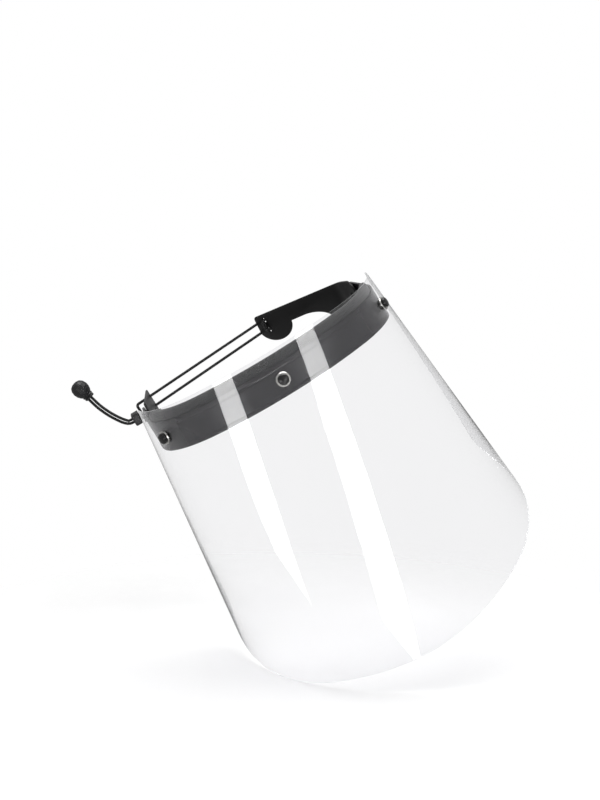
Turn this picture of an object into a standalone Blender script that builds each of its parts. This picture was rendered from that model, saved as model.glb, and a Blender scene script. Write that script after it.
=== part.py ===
"""Face shield: a clear wrap-round visor on a rigid brow band, with a sweatband inside it,
two riveted side arms, and a loop of elastic cord that closes the ring behind the head.

Metres, +Z up as worn. The wearer faces -Y. The origin is the middle of the sweatband's
inner face, where the forehead touches it.
"""

import math

import bmesh
import bpy
from mathutils import Matrix, Vector

# ---------------------------------------------------------------- driving dimensions
GAP = 0.0003                        # clearance between touching solids
RUNNING = 0.0001                    # clearance between a shaft and the hole that turns on it

# Plan of the visor's outer face at brow height: a flat front arc, then a tighter side arc.
FRONT_RADIUS = 0.146
FRONT_TURN = math.radians(20.0)
SIDE_RADIUS = 0.052
FLARE = math.radians(8.1)           # the sheet leans outwards on its way down
FRONT_Y = -0.0098                   # outer face of the sheet, ahead of the origin
BROW_Z = 0.0014                     # height of the brow plane above the origin

SHEET_THICKNESS = 0.0007
VISOR_TOP = -0.0146                 # distances down the sheet from the brow plane
VISOR_WIDEST = 0.1317
VISOR_BOTTOM = 0.1856
VISOR_TOP_HALF = 0.110              # half the sheet's width, measured round its curve
VISOR_WIDENING = 0.11               # each side gains this much for each metre down
VISOR_CHIN_POWER = 1.66             # 2 is an ellipse; less is a more pointed chin

BAND_THICKNESS = 0.0018
BAND_DEPTH = 0.0028                 # outer face of the band, in from the sheet's outer face
BAND_TOP = -0.0063
BAND_BOTTOM = 0.0122
BAND_STRAIGHT = 0.0415              # straight run behind the side arc, where an arm is riveted
BAND_CORNER = 0.006

PAD_THICKNESS = 0.005
PAD_TOP = -0.0122
PAD_BOTTOM = 0.0092
PAD_HALF = 0.106
PAD_CORNER = 0.008

STUD_STATIONS = {"left": -0.084, "center": -0.0025, "right": 0.084}
STUD_DROP = 0.0026                  # below the brow plane
POST_RADIUS = 0.0015
POST_HEAD_RADIUS = 0.0045
CAP_RADIUS = 0.0032
EYELET_RADIUS = 0.0043

RIVET_BEHIND = 0.0335               # behind the end of the side arc
RIVET_Z = -0.0020
RIVET_RADIUS = 0.0018
ARM_THICKNESS = 0.0016
ARM_GAP = 0.0008                    # room for the washer between band and arm
ARM_LENGTH = 0.148
ARM_NOSE = 0.0118                   # radius of the arm's round front end
ARM_BEND_AT = 0.0255
ARM_BEND_RADIUS = 0.030
ARM_YAW = {"left": math.radians(0.5), "right": math.radians(26.8)}      # bent inwards
ARM_DROOP = {"left": math.radians(-7.4), "right": math.radians(-4.8)}   # hanging at the rear

CORD_RADIUS = 0.0011
CORD_HOLE_RADIUS = 0.0022
CORD_PULL = 0.0009                  # the tight cord lies against the rear of each hole
HOLE_STATION = 0.134
HOLE_HEIGHTS = (0.0066, -0.0019)    # from the arm's own middle line

LOCK_CENTRE = Vector((-0.0945, 0.2030, -0.0207))
LOCK_WIDTH = 0.0062                 # along the strands
LOCK_HEIGHT = 0.0096
LOCK_FRONT = -0.0059                # ends of its block, from the strands
LOCK_REAR = 0.0032
LOCK_TRAVEL = 0.0022


# ---------------------------------------------------------------- scene and materials
for old in list(bpy.data.objects):
    bpy.data.objects.remove(old, do_unlink=True)


def material(name, colour, roughness, metallic=0.0, alpha=1.0):
    mat = bpy.data.materials.new(name)
    mat.use_nodes = True
    shader = mat.node_tree.nodes["Principled BSDF"]
    shader.inputs["Base Color"].default_value = (*colour, 1.0)
    shader.inputs["Roughness"].default_value = roughness
    shader.inputs["Metallic"].default_value = metallic
    shader.inputs["Alpha"].default_value = alpha
    return mat


CLEAR_SHEET = material("clear_sheet", (0.86, 0.87, 0.88), 0.05, alpha=0.25)
BAND_PLASTIC = material("band_plastic", (0.035, 0.035, 0.04), 0.25)
PAD_FABRIC = material("pad_fabric", (0.03, 0.03, 0.032), 0.85)
ARM_PLASTIC = material("arm_plastic", (0.012, 0.012, 0.013), 0.35)
STUD_PLASTIC = material("stud_plastic", (0.01, 0.01, 0.011), 0.3)
BRIGHT_METAL = material("bright_metal", (0.75, 0.75, 0.76), 0.2, metallic=1.0)
BLACK_METAL = material("black_metal", (0.03, 0.03, 0.03), 0.35, metallic=1.0)
CORD_BRAID = material("cord_braid", (0.012, 0.012, 0.012), 0.8)
LOCK_PLASTIC = material("lock_plastic", (0.015, 0.015, 0.016), 0.4)


# ---------------------------------------------------------------- the curve of the brow
FRONT_ARC = FRONT_RADIUS * FRONT_TURN
SIDE_ARC = SIDE_RADIUS * (math.pi / 2 - FRONT_TURN)
SIDE_X = FRONT_RADIUS * math.sin(FRONT_TURN) + SIDE_RADIUS * (1 - math.sin(FRONT_TURN))
SIDE_Y = FRONT_Y + FRONT_RADIUS * (1 - math.cos(FRONT_TURN)) + SIDE_RADIUS * math.cos(FRONT_TURN)


def brow_curve(s, straight_sides):
    """Point and heading of the plan curve, s metres round from its middle (left is -s)."""
    side = math.copysign(1.0, s)
    along = abs(s)
    in_front = min(along, FRONT_ARC)
    turn = in_front / FRONT_RADIUS
    x = FRONT_RADIUS * math.sin(turn)
    y = FRONT_RADIUS * (1 - math.cos(turn))
    in_side = max(along - FRONT_ARC, 0.0)
    if straight_sides:
        in_side = min(in_side, SIDE_ARC)
    start = turn
    turn += in_side / SIDE_RADIUS
    x += SIDE_RADIUS * (math.sin(turn) - math.sin(start))
    y += SIDE_RADIUS * (math.cos(start) - math.cos(turn))
    if straight_sides:
        y += max(along - FRONT_ARC - SIDE_ARC, 0.0)
    return Vector((side * x, FRONT_Y + y, BROW_Z)), side * turn


def frame_at(s, straight_sides, fade_flare):
    """Brow point, then the outward normal and the downward direction of the leaning wall."""
    point, heading = brow_curve(s, straight_sides)
    lean = FLARE
    if fade_flare:
        end = FRONT_ARC + SIDE_ARC
        fade = min(max((end - abs(s)) / 0.030, 0.0), 1.0)
        lean *= fade * fade * (3 - 2 * fade)
    level = Vector((math.sin(heading), -math.cos(heading), 0.0))
    outward = level * math.cos(lean) + Vector((0, 0, math.sin(lean)))
    down = level * math.sin(lean) - Vector((0, 0, math.cos(lean)))
    return point, outward, down


def visor_point(s, v, depth=0.0):
    point, outward, down = frame_at(s, False, False)
    return point + down * v - outward * depth


def band_point(s, v, depth):
    point, outward, down = frame_at(s, True, True)
    return point + down * v - outward * depth


# ---------------------------------------------------------------- modelling helpers
def new_object(name, mesh_maker, mat):
    mesh = bpy.data.meshes.new(name)
    shape = bmesh.new()
    mesh_maker(shape)
    shape.to_mesh(mesh)
    shape.free()
    mesh.materials.append(mat)
    obj = bpy.data.objects.new(name, mesh)
    bpy.context.scene.collection.objects.link(obj)
    return obj


def smooth(obj, angle=35.0):
    obj.data.shade_smooth()
    obj.data.set_sharp_from_angle(angle=math.radians(angle))


def curved_strip(name, columns, rows, place, thickness, mat):
    """A grid laid on a curved face by place(a, b), a and b from -1 to 1, then thickened inwards."""
    def make(shape):
        bmesh.ops.create_grid(shape, x_segments=columns, y_segments=rows, size=1.0)
        for vert in shape.verts:
            vert.co = place(vert.co.x, vert.co.y)
        bmesh.ops.remove_doubles(shape, verts=shape.verts, dist=0.00002)
        # the sheet is built facing the wearer and thickened from its outer face
        for face in shape.faces:
            face.normal_update()
        middle = min(shape.faces, key=lambda f: abs(f.calc_center_median().x) + f.calc_center_median().y)
        if middle.normal.y > 0:
            bmesh.ops.reverse_faces(shape, faces=shape.faces)
    obj = new_object(name, make, mat)
    wall = obj.modifiers.new("thickness", "SOLIDIFY")
    wall.thickness = thickness
    wall.offset = -1.0
    smooth(obj)
    return obj


def turned(name, profile, centre, axis, mat, steps=24, closed=False):
    """A turned piece: profile is (radius, height) along axis; closed joins last to first."""
    turn_to_axis = Vector((0, 0, 1)).rotation_difference(axis).to_matrix().to_4x4()
    place = Matrix.Translation(centre) @ turn_to_axis

    def make(shape):
        points = [shape.verts.new((radius, 0.0, height)) for radius, height in profile]
        edges = [shape.edges.new(pair) for pair in zip(points, points[1:])]
        if closed:
            edges.append(shape.edges.new((points[-1], points[0])))
        bmesh.ops.spin(shape, geom=points + edges, cent=(0, 0, 0), axis=(0, 0, 1),
                       angle=math.tau, steps=steps, use_merge=True)
        bmesh.ops.remove_doubles(shape, verts=shape.verts, dist=0.000002)
        bmesh.ops.recalc_face_normals(shape, faces=shape.faces)
    obj = new_object(name, make, mat)
    obj.matrix_world = place
    smooth(obj)
    return obj


def cutter(name, radius, half_length, centre, axis, sides=24):
    def make(shape):
        bmesh.ops.create_cone(shape, cap_ends=True, segments=sides, radius1=radius,
                              radius2=radius, depth=2 * half_length)
    obj = new_object(name, make, BLACK_METAL)
    obj.matrix_world = (Matrix.Translation(centre)
                        @ Vector((0, 0, 1)).rotation_difference(axis).to_matrix().to_4x4())
    obj.hide_render = True
    obj.display_type = "WIRE"
    return obj


def cut(obj, tool):
    boolean = obj.modifiers.new("cut_" + tool.name, "BOOLEAN")
    boolean.operation = "DIFFERENCE"
    boolean.object = tool
    boolean.solver = "EXACT"


def half_superellipse(fraction, power):
    return (1 - min(abs(fraction), 1.0) ** power) ** (1 / power)


def round_end(distance_to_end, corner):
    """How far a strip's edge pulls in near its end, for a round corner."""
    reach = max(corner - distance_to_end, 0.0)
    return corner - math.sqrt(max(corner * corner - reach * reach, 0.0))


# ---------------------------------------------------------------- visor
VISOR_HALF = VISOR_TOP_HALF + VISOR_WIDENING * (VISOR_WIDEST - VISOR_TOP)


def visor_place(a, b):
    s = VISOR_HALF * math.sin(a * math.pi / 2)
    beyond = max(abs(s) - VISOR_TOP_HALF, 0.0)
    top = VISOR_TOP + beyond / VISOR_WIDENING
    chin = half_superellipse(s / VISOR_HALF, VISOR_CHIN_POWER)
    bottom = VISOR_WIDEST + (VISOR_BOTTOM - VISOR_WIDEST) * chin
    return visor_point(s, bottom + (top - bottom) * (b + 1) / 2)


def visor():
    obj = curved_strip("visor", 44, 18, visor_place, SHEET_THICKNESS, CLEAR_SHEET)
    for side, station in STUD_STATIONS.items():
        point, outward, down = frame_at(station, False, False)
        hole = cutter("visor_hole_" + side, 0.0027, 0.0012, point + down * STUD_DROP, outward)
        cut(obj, hole)


# ---------------------------------------------------------------- brow band and sweatband
BAND_HALF = FRONT_ARC + SIDE_ARC + BAND_STRAIGHT


def band_place(a, b):
    s = BAND_HALF * math.sin(a * math.pi / 2) if abs(a) > 0.9 else BAND_HALF * a * math.sin(0.45 * math.pi) / 0.9
    pull_in = round_end(BAND_HALF - abs(s), BAND_CORNER)
    top = BAND_TOP + pull_in
    bottom = BAND_BOTTOM - pull_in
    return band_point(s, bottom + (top - bottom) * (b + 1) / 2, BAND_DEPTH)


def brow_band():
    obj = curved_strip("brow_band", 60, 3, band_place, BAND_THICKNESS, BAND_PLASTIC)
    for side, station in STUD_STATIONS.items():
        point, outward, down = frame_at(station, True, True)
        hole_at = point + down * STUD_DROP - outward * (BAND_DEPTH + BAND_THICKNESS / 2)
        cut(obj, cutter("band_hole_" + side, POST_RADIUS + GAP, 0.0025, hole_at, outward))
    for side, sign in (("left", -1), ("right", 1)):
        hole_at = rivet_centre(sign)
        cut(obj, cutter("rivet_hole_" + side, RIVET_RADIUS + GAP, 0.0030, hole_at, Vector((1, 0, 0))))


def pad_place(a, b):
    s = PAD_HALF * a
    pull_in = round_end(PAD_HALF - abs(s), PAD_CORNER)
    top = PAD_TOP + pull_in
    bottom = PAD_BOTTOM - pull_in
    return band_point(s, bottom + (top - bottom) * (b + 1) / 2, BAND_DEPTH + BAND_THICKNESS + GAP)


def sweatband():
    obj = curved_strip("sweatband", 46, 5, pad_place, PAD_THICKNESS, PAD_FABRIC)
    for side, station in STUD_STATIONS.items():
        point, outward, down = frame_at(station, True, True)
        depth = BAND_DEPTH + BAND_THICKNESS + GAP
        pocket_at = point + down * STUD_DROP - outward * depth
        cut(obj, cutter("pad_pocket_" + side, POST_HEAD_RADIUS + 2 * GAP, 0.0016, pocket_at, outward))


# ---------------------------------------------------------------- press studs
def press_stud(side, station):
    """Post through band and visor, black spacer, bright eyelet on the sheet, and a black cap."""
    point, outward, down = frame_at(station, True, True)
    face = point + down * STUD_DROP
    inner = -(BAND_DEPTH + BAND_THICKNESS)
    turned("stud_post_" + side,
           [(0, inner - 0.0012), (POST_HEAD_RADIUS - 0.0004, inner - 0.0012),
            (POST_HEAD_RADIUS, inner - 0.0009), (POST_HEAD_RADIUS, inner - GAP),
            (POST_RADIUS, inner - GAP), (POST_RADIUS, 0.0018), (POST_RADIUS - 0.0004, 0.0021),
            (0, 0.0021)],
           face, outward, STUD_PLASTIC)
    turned("stud_spacer_" + side,
           [(POST_RADIUS + GAP, -BAND_DEPTH + GAP + 0.0002), (0.0034, -BAND_DEPTH + GAP + 0.0002),
            (0.0034, -0.0012), (POST_RADIUS + GAP, -0.0012)],
           face, outward, STUD_PLASTIC, closed=True)
    turned("stud_eyelet_" + side,
           [(POST_RADIUS + GAP, -0.0007), (0.0023, -0.0007), (0.0023, 0.0003), (EYELET_RADIUS, 0.0003),
            (EYELET_RADIUS, 0.0006), (EYELET_RADIUS - 0.0004, 0.0010), (0.0031, 0.0010),
            (0.0027, 0.0008), (POST_RADIUS + GAP, 0.0008)],
           face, outward, BRIGHT_METAL, closed=True)
    turned("stud_cap_" + side,
           [(0, 0.0024), (POST_RADIUS + RUNNING, 0.0024), (POST_RADIUS + RUNNING, 0.0013),
            (CAP_RADIUS - 0.0002, 0.0013), (CAP_RADIUS, 0.0015), (CAP_RADIUS, 0.0022),
            (CAP_RADIUS - 0.0005, 0.0028), (0.0015, 0.0031), (0, 0.0032)],
           face, outward, STUD_PLASTIC)


# ---------------------------------------------------------------- side arms
def rivet_centre(sign):
    """Where a rivet crosses the middle of the band's wall."""
    x = SIDE_X - BAND_DEPTH - BAND_THICKNESS / 2
    return Vector((sign * x, SIDE_Y + RIVET_BEHIND, RIVET_Z))


ARM_X = SIDE_X - BAND_DEPTH - BAND_THICKNESS - ARM_GAP - ARM_THICKNESS / 2
RIVET_Y = SIDE_Y + RIVET_BEHIND


def hang(side):
    """The turn about the rivet line that a level arm takes to its hanging angle."""
    pivot = Vector((0, RIVET_Y, RIVET_Z))
    return (Matrix.Translation(pivot) @ Matrix.Rotation(ARM_DROOP[side], 4, "X")
            @ Matrix.Translation(-pivot))


def arm_frame(side, d):
    """Middle of the level arm's wall, its heading and its outward normal, d back from its nose."""
    sign = -1 if side == "left" else 1
    yaw = ARM_YAW[side]
    bend = min(max(d - ARM_BEND_AT, 0.0) / ARM_BEND_RADIUS, yaw)
    inward = ARM_BEND_RADIUS * (1 - math.cos(bend))
    back = min(d, ARM_BEND_AT) + ARM_BEND_RADIUS * math.sin(bend)
    past = max(d - ARM_BEND_AT - ARM_BEND_RADIUS * yaw, 0.0)
    inward += past * math.sin(bend)
    back += past * math.cos(bend)
    point = Vector((sign * (ARM_X - inward), RIVET_Y - ARM_NOSE + back, RIVET_Z))
    heading = Vector((-sign * math.sin(bend), math.cos(bend), 0.0))
    outward = Vector((sign * math.cos(bend), math.sin(bend), 0.0))
    return point, heading, outward


def arm_place(side, d, out, height):
    """A point of the hanging arm: d back from its nose, out from its wall, up its own face."""
    point, heading, outward = arm_frame(side, d)
    return hang(side) @ (point + outward * out + Vector((0, 0, height)))


def arc(centre, radii, start, end, steps):
    """Points of an elliptical arc, angles in degrees, both ends included."""
    points = []
    for i in range(steps + 1):
        angle = math.radians(start + (end - start) * i / steps)
        points.append((centre[0] + radii[0] * math.cos(angle), centre[1] + radii[1] * math.sin(angle)))
    return points


def arm_outline():
    """Side view of an arm: round nose, straight top, arched underside and a round rear lobe."""
    nose = arc((ARM_NOSE, 0.0), (ARM_NOSE, ARM_NOSE), 90, 270, 12)
    arch = arc((0.084, -0.0118), (0.030, 0.0108), 170, 90, 8)
    lobe = arc((0.1255, 0.0004), (0.0225, 0.0130), 187, 345, 12)
    heel = arc((ARM_LENGTH - 0.0050, 0.0088), (0.0030, 0.0030), 0, 90, 4)
    return nose + [(0.044, -0.0118)] + arch + [(0.1010, -0.0014)] + lobe + heel


def arm(side):
    def make(shape):
        outline = [shape.verts.new((d, 0.0, z)) for d, z in arm_outline()]
        shape.faces.new(outline)
        bend_end = ARM_BEND_AT + ARM_BEND_RADIUS * ARM_YAW[side]
        for i in range(7):
            d = ARM_BEND_AT + (bend_end - ARM_BEND_AT) * i / 6
            bmesh.ops.bisect_plane(shape, geom=shape.verts[:] + shape.edges[:] + shape.faces[:],
                                   plane_co=(d, 0, 0), plane_no=(1, 0, 0))
        for vert in shape.verts:
            vert.co = arm_place(side, vert.co.x, 0.0, vert.co.z)
        bmesh.ops.recalc_face_normals(shape, faces=shape.faces)
    obj = new_object("arm_" + side, make, ARM_PLASTIC)
    wall = obj.modifiers.new("thickness", "SOLIDIFY")
    wall.thickness = ARM_THICKNESS
    wall.offset = 0.0
    cut(obj, cutter("arm_rivet_hole_" + side, RIVET_RADIUS + RUNNING, 0.003,
                    arm_place(side, ARM_NOSE, 0.0, 0.0), Vector((1, 0, 0))))
    for name, height in zip(("upper", "lower"), HOLE_HEIGHTS):
        centre = arm_place(side, HOLE_STATION, 0.0, height)
        axis = arm_place(side, HOLE_STATION, 1.0, height) - centre
        cut(obj, cutter("cord_hole_%s_%s" % (side, name), CORD_HOLE_RADIUS, 0.003, centre, axis))
    smooth(obj)


def arm_rivet(side, sign):
    """Domed rivet from outside the band, its washer between band and arm, and its shank."""
    centre = rivet_centre(sign)
    outward = Vector((sign, 0, 0))
    half_band = BAND_THICKNESS / 2
    arm_inner = -(half_band + ARM_GAP + ARM_THICKNESS)
    turned("arm_rivet_" + side,
           [(0, half_band + 0.0016), (0.0022, half_band + 0.0013), (0.0036, half_band + 0.0008),
            (0.0040, half_band + GAP), (RIVET_RADIUS, half_band + GAP), (RIVET_RADIUS, arm_inner - GAP),
            (0.0036, arm_inner - GAP), (0.0032, arm_inner - 0.0009), (0, arm_inner - 0.0013)],
           centre, outward, BLACK_METAL)
    washer = -(half_band + ARM_GAP / 2)
    turned("arm_washer_" + side,
           [(RIVET_RADIUS + GAP, washer - 0.0002), (0.0048, washer - 0.0002),
            (0.0048, washer + 0.0002), (RIVET_RADIUS + GAP, washer + 0.0002)],
           centre, outward, STUD_PLASTIC, closed=True)


# ---------------------------------------------------------------- elastic cord
def rounded_route(points, bend, steps):
    """The straight route through the points, each corner turned as an arc of radius bend."""
    route = [points[0]]
    for before, corner, after in zip(points, points[1:], points[2:]):
        to_before = before - corner
        to_after = after - corner
        half_turn = (math.pi - to_before.angle(to_after)) / 2
        tangent = min(bend * math.tan(half_turn), 0.48 * to_before.length, 0.48 * to_after.length)
        start = corner + to_before.normalized() * tangent
        end = corner + to_after.normalized() * tangent
        middle = (to_before.normalized() + to_after.normalized()).normalized()
        centre = corner + middle * (tangent / math.sin(half_turn))
        for i in range(steps + 1):
            blend = (start - centre).normalized().slerp((end - centre).normalized(), i / steps)
            route.append(centre + blend * (start - centre).length)
    route.append(points[-1])
    return route


def spaced_route(points, spacing):
    """A Catmull-Rom curve through evenly placed points, read every spacing metres."""
    ends = [points[0] * 2 - points[1]] + points + [points[-1] * 2 - points[-2]]
    fine = []
    for p0, p1, p2, p3 in zip(ends, ends[1:], ends[2:], ends[3:]):
        for i in range(24):
            t = i / 24
            fine.append(0.5 * (2 * p1 + (p2 - p0) * t + (2 * p0 - 5 * p1 + 4 * p2 - p3) * t * t
                               + (3 * p1 - p0 - 3 * p2 + p3) * t ** 3))
    route = [fine[0]]
    walked = 0.0
    for a, b in zip(fine, fine[1:]):
        walked += (b - a).length
        if walked >= spacing:
            route.append(b)
            walked = 0.0
    route.append(points[-1])
    return route


def cord(name, route, radius, mat, resolution=2):
    curve = bpy.data.curves.new(name, "CURVE")
    curve.dimensions = "3D"
    curve.bevel_depth = radius
    curve.bevel_resolution = resolution
    curve.use_fill_caps = True
    spline = curve.splines.new("POLY")
    spline.points.add(len(route) - 1)
    for point, place in zip(spline.points, route):
        point.co = (*place, 1.0)
    curve.materials.append(mat)
    obj = bpy.data.objects.new(name, curve)
    bpy.context.scene.collection.objects.link(obj)


STRAND_SPREAD = 0.0013              # half the distance between the two strands


def held_half(level, height, run_height, out_of_arm, at_lock):
    """Corners of one run: lock, left arm's hole, round the right arm's end, right arm's hole."""
    up = Vector((0, 0, 1))
    left_hole = arm_place("left", HOLE_STATION, 0.0, height)
    right_end = arm_place("right", ARM_LENGTH + 0.0010, 0.0026, run_height)
    run = (left_hole - right_end).normalized()
    entry = LOCK_CENTRE + Vector((LOCK_WIDTH / 2 + 0.0005, 0, level * STRAND_SPREAD))
    return [entry,
            entry + Vector((at_lock, 0, 0)),
            left_hole + run * out_of_arm,
            right_end,
            arm_place("right", HOLE_STATION + CORD_PULL, 0.0025, height),
            arm_place("right", HOLE_STATION + CORD_PULL, -0.0025, height)]


def held_cord():
    """The elastic between the lock's two strands: across, round and through the right arm, back."""
    upper = held_half(1, HOLE_HEIGHTS[0], 0.0056, 0.0122, 0.0018)
    lower = held_half(-1, HOLE_HEIGHTS[1], -0.0023, 0.0082, 0.0056)
    cord("elastic_cord", rounded_route(upper + lower[::-1], 0.0021, 5), CORD_RADIUS, CORD_BRAID)


# middle of the doubled tail, from the middle of the lock
TAIL_MIDDLE = [Vector((0.0030, 0, 0)), Vector((-0.0056, 0, 0)), Vector((-0.0090, 0, 0.0024)),
               Vector((-0.0126, 0, 0.0076)), Vector((-0.0165, 0, 0.0150)),
               Vector((-0.0198, 0, 0.0237)), Vector((-0.0219, 0, 0.0325)),
               Vector((-0.0234, 0, 0.0384))]


def tail_route(level):
    """One strand of the doubled tail: straight through the lock, then curling up to the bell."""
    places = []
    for i, place in enumerate(TAIL_MIDDLE):
        ahead = TAIL_MIDDLE[min(i + 1, len(TAIL_MIDDLE) - 1)] - TAIL_MIDDLE[max(i - 1, 0)]
        sideways = ahead.normalized().cross(Vector((0, -1, 0)))
        if i < 2:
            sideways = Vector((0, 0, 1))
        places.append(LOCK_CENTRE + place + sideways * (level * STRAND_SPREAD))
    return spaced_route(places, 4 * CORD_RADIUS)


def tails():
    for name, level in (("tail_strand_a", 1), ("tail_strand_b", -1)):
        cord(name, tail_route(level), CORD_RADIUS, CORD_BRAID)


BELL_MOUTH = Vector((-0.0215, 0, 0.0332))
BELL_AXIS = Vector((-0.28, 0, 0.96))
BELL_LENGTH = 0.0165


def cord_end():
    """Hollow bell that hides the tail's knot: ribbed neck, round shoulder, domed end."""
    mouth = LOCK_CENTRE + BELL_MOUTH
    up = BELL_AXIS.normalized()
    inside = 0.0030
    turned("cord_end_bell",
           [(0, 0.0145), (inside, 0.0130), (inside, 0), (0.0039, 0), (0.0042, 0.0012),
            (0.0038, 0.0018), (0.0046, 0.0026), (0.0042, 0.0034), (0.0054, 0.0050),
            (0.0064, 0.0072), (0.0068, 0.0100), (0.0062, 0.0130), (0.0045, 0.0153),
            (0.0022, 0.0163), (0, BELL_LENGTH)],
           mouth, up, LOCK_PLASTIC)
    turned("cord_end_knot",
           [(0, 0.0062), (0.0016, 0.0064), (0.0026, 0.0076), (0.0026, 0.0100), (0.0014, 0.0114),
            (0, 0.0117)],
           mouth, up, CORD_BRAID, steps=16)


# ---------------------------------------------------------------- cord lock
def lock_box(name, size, middle_y, bevel=0.0):
    """A box centred on the strands but for its middle_y, its edges rounded by bevel."""
    def make(shape):
        bmesh.ops.create_cube(shape, size=1.0)
        for vert in shape.verts:
            vert.co = Vector((vert.co.x * size[0], vert.co.y * size[1], vert.co.z * size[2]))
    obj = new_object(name, make, LOCK_PLASTIC)
    obj.location = LOCK_CENTRE + Vector((0, middle_y, 0))
    if bevel:
        edges = obj.modifiers.new("edges", "BEVEL")
        edges.width = bevel
        edges.segments = 3
        edges.limit_method = "ANGLE"
    return obj


def lock_tool(name, size, middle_y):
    obj = lock_box(name, size, middle_y)
    obj.hide_render = True
    obj.display_type = "WIRE"
    return obj


def cord_lock():
    """A block with a blind bore from behind, and the sprung plunger whose slot grips the strands."""
    slot_tall = 2 * (STRAND_SPREAD + CORD_RADIUS + GAP)
    slot_deep = 2 * (CORD_RADIUS + GAP)
    shaft = (0.0040, 0.0083, 0.0068)
    shaft_front = -0.0024
    body = lock_box("cord_lock_body", (LOCK_WIDTH, LOCK_REAR - LOCK_FRONT, LOCK_HEIGHT),
                    (LOCK_FRONT + LOCK_REAR) / 2, bevel=0.0011)
    bore = (shaft[0] + 2 * GAP, 0.0120, shaft[2] + 2 * GAP)
    cut(body, lock_tool("lock_bore", bore, shaft_front - LOCK_TRAVEL - GAP + bore[1] / 2))
    cut(body, lock_tool("lock_slot", (0.02, slot_deep, slot_tall), 0.0))
    plunger = lock_box("cord_lock_plunger", shaft, shaft_front + shaft[1] / 2)
    button_front = LOCK_REAR + LOCK_TRAVEL + GAP
    button = lock_box("plunger_button", (0.0056, 0.0016, 0.0082), button_front + 0.0008)
    button.hide_render = True
    button.display_type = "WIRE"
    joined = plunger.modifiers.new("button", "BOOLEAN")
    joined.operation = "UNION"
    joined.object = button
    joined.solver = "EXACT"
    cut(plunger, lock_tool("plunger_slot", (0.02, slot_deep + LOCK_TRAVEL, slot_tall), LOCK_TRAVEL / 2))


visor()
brow_band()
sweatband()
for stud_side, stud_station in STUD_STATIONS.items():
    press_stud(stud_side, stud_station)
for arm_side, arm_sign in (("left", -1), ("right", 1)):
    arm(arm_side)
    arm_rivet(arm_side, arm_sign)
held_cord()
tails()
cord_end()
cord_lock()
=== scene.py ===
import math

import bmesh
import bpy
from mathutils import Matrix, Vector


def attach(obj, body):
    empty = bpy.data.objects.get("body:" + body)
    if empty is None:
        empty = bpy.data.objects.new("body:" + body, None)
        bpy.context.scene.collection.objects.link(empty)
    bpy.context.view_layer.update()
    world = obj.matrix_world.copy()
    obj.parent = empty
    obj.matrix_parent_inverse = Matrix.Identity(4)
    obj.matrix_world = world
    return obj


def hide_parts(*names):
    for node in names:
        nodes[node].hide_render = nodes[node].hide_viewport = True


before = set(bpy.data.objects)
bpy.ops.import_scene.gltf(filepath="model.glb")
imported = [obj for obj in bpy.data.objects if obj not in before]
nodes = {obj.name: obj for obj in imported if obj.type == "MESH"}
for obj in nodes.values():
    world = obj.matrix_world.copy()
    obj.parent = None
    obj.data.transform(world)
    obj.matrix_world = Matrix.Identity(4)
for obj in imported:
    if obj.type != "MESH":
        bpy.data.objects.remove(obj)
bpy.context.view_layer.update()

# ------------------------------------------------------------------ camera and studio
# A white table top and background, two slanted bar softboxes in front of the shield
# that draw long bright streaks down the sheet, and one large soft light overhead.
scene = bpy.context.scene
scene.view_settings.view_transform = "Standard"

camera_data = bpy.data.cameras.new("camera")
camera_data.lens = 37.29
camera_data.sensor_width = 36.0
camera_data.clip_start = 0.01
camera = bpy.data.objects.new("camera", camera_data)
scene.collection.objects.link(camera)
scene.camera = camera
camera_right = Vector((0.8433, -0.2442, -0.4790)).normalized()
camera_back = Vector((-0.1161, -0.9527, 0.2812)).normalized()
camera_up = camera_back.cross(camera_right).normalized()
camera_right = camera_up.cross(camera_back).normalized()
camera_turn = Matrix((camera_right, camera_up, camera_back)).transposed().to_4x4()
camera.matrix_world = Matrix.Translation((-0.0541, -0.4532, 0.1143)) @ camera_turn


def soft_light(name, middle, long_way, facing, length, width, watts):
    """A rectangular softbox: its long side lies along long_way and it shines along facing."""
    data = bpy.data.lights.new(name, "AREA")
    data.shape = "RECTANGLE"
    data.size = length
    data.size_y = width
    data.energy = watts
    back = -facing.normalized()
    along = (long_way - back * long_way.dot(back)).normalized()
    lamp = bpy.data.objects.new(name, data)
    scene.collection.objects.link(lamp)
    turn = Matrix((along, back.cross(along), back)).transposed().to_4x4()
    lamp.matrix_world = Matrix.Translation(middle) @ turn


def bar_softbox(name, upper, lower, width, watts):
    middle = (upper + lower) / 2
    soft_light(name, middle, lower - upper, Vector((-0.01, -0.01, -0.07)) - middle,
               (upper - lower).length, width, watts)


bar_softbox("bar_softbox_left", Vector((-0.36, -1.0, 0.160)), Vector((-0.85, -1.0, -0.315)), 0.165, 2.5)
bar_softbox("bar_softbox_right", Vector((0.60, -1.0, 0.140)), Vector((-0.215, -1.0, -0.495)), 0.150, 3.3)

TABLE_TILT = math.radians(5)
floor_normal = (camera_up * math.cos(TABLE_TILT) + camera_back * math.sin(TABLE_TILT)).normalized()
floor_height = min(v.co.dot(floor_normal) for v in nodes["visor"].data.vertices)
soft_light("overhead_softbox", Vector((0.05, 0.05, 0.0)) + floor_normal * 1.4, camera_right,
           -floor_normal, 1.5, 0.9, 20.5)

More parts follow.
